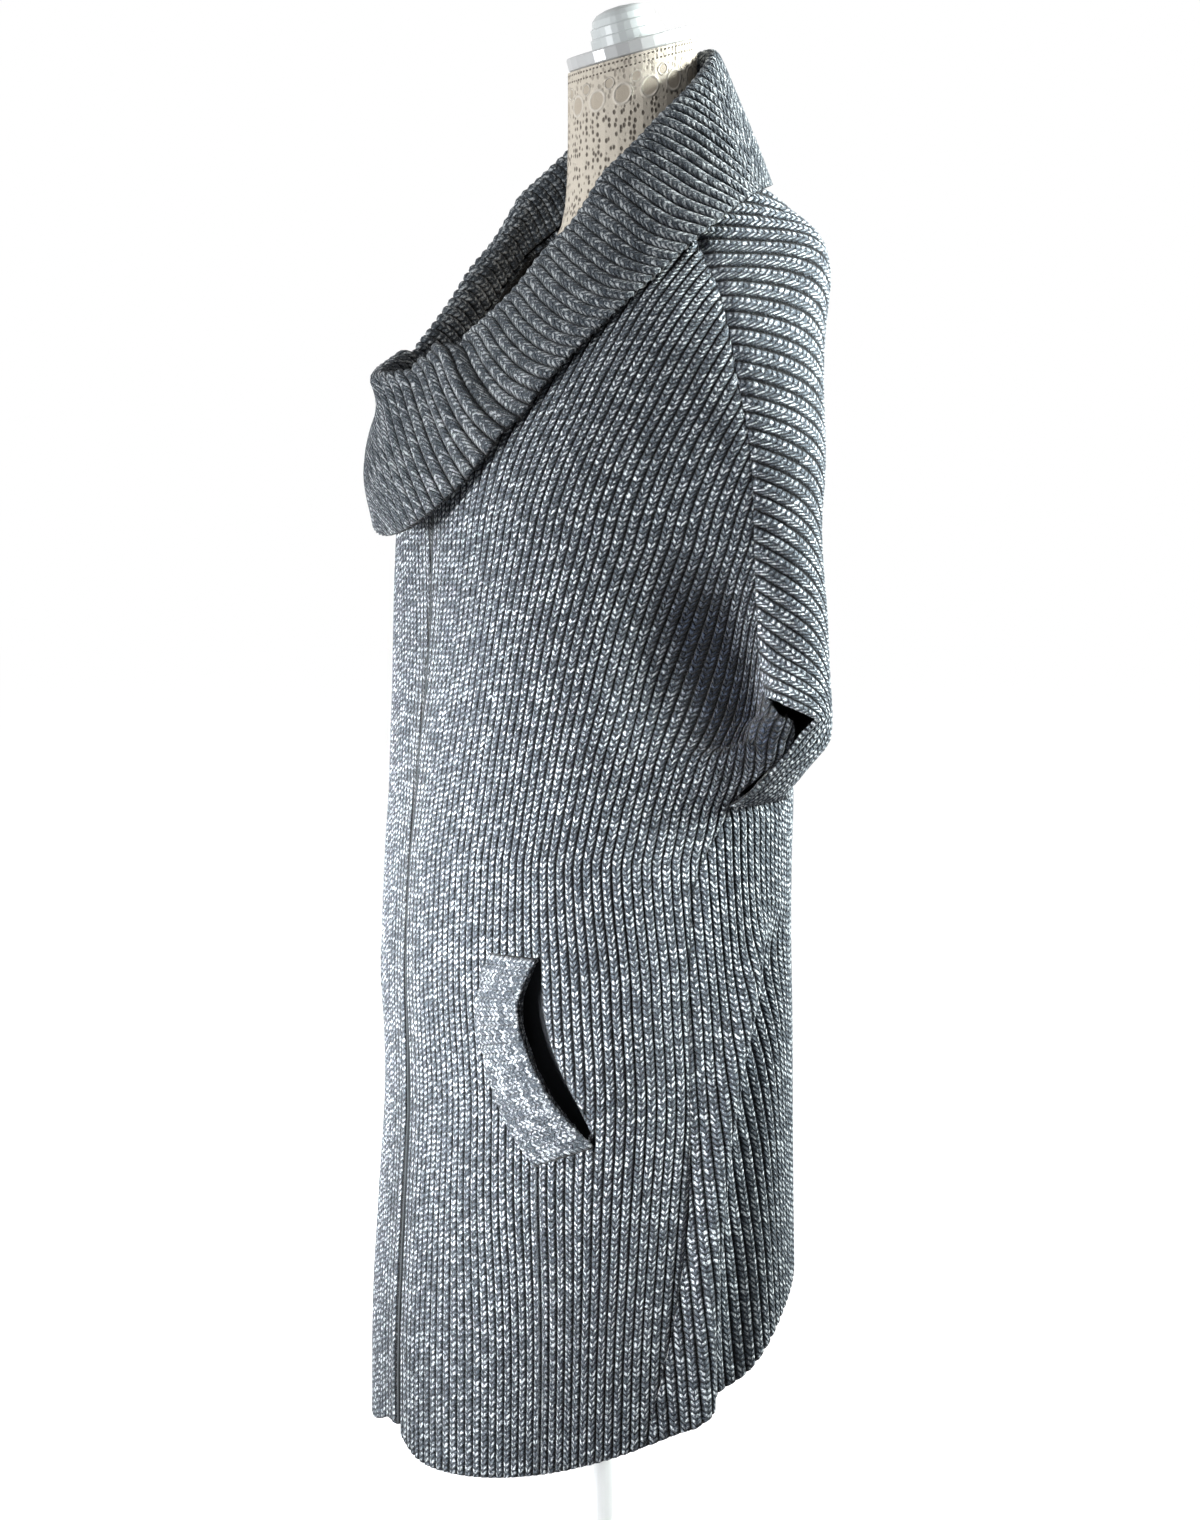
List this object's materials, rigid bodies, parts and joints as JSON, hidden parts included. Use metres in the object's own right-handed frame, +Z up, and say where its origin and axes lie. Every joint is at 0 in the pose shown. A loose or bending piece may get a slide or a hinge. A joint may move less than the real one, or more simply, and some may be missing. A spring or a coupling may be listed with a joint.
{
  "type": "sleeveless rib-knit zip cardigan on a limbless dress form with a round stand",
  "caption": "Long sleeveless rib-knit cardigan with a wide fold-over collar, front zip and side pockets, worn by a limbless dress form on a round stand.",
  "frame": {"origin": "centre of the underside of the stand's round base", "axes": "+Z up along the pole, -Y towards the front of the cardigan, +X towards the wearer's left"},
  "size_m": [0.5136, 0.3731, 1.5406],
  "materials": {
    "knit": "marled grey rib knit",
    "rib_knit": "marled dark grey rib knit",
    "pocket_cloth": "plain dark cloth",
    "zip_tape": "woven tape with a closed coil chain",
    "zip_metal": "dark nickel",
    "form_cover": "beige jersey under cream lace",
    "cap_white": "glossy white",
    "knob_grey": "satin pale grey",
    "stand_paint": "white paint"
  },
  "bodies": {
    "cardigan_on_form": {"left_front": "knit", "right_front": "knit", "back_panel": "knit", "collar": "rib_knit", "left_pocket_band": "rib_knit", "right_pocket_band": "rib_knit", "left_pocket_bag": "pocket_cloth", "right_pocket_bag": "pocket_cloth", "zip_chain_and_tapes": "zip_tape", "zip_slider": "zip_metal", "form_torso": "form_cover", "neck_cap": "cap_white", "cap_knob": "knob_grey", "stand_base": "stand_paint", "stand_flange": "stand_paint", "stand_pole": "stand_paint"},
    "pull_tab": {"zip_pull_tab": "zip_metal"}
  },
  "joints": [
    {"name": "pull_tab_hinge", "type": "hinge", "parent": "cardigan_on_form", "child": "pull_tab", "pos_m": [0, -0.14875, 1.1636], "axis": [-1, 0, 0], "range_deg": [0, 75]}
  ]
}
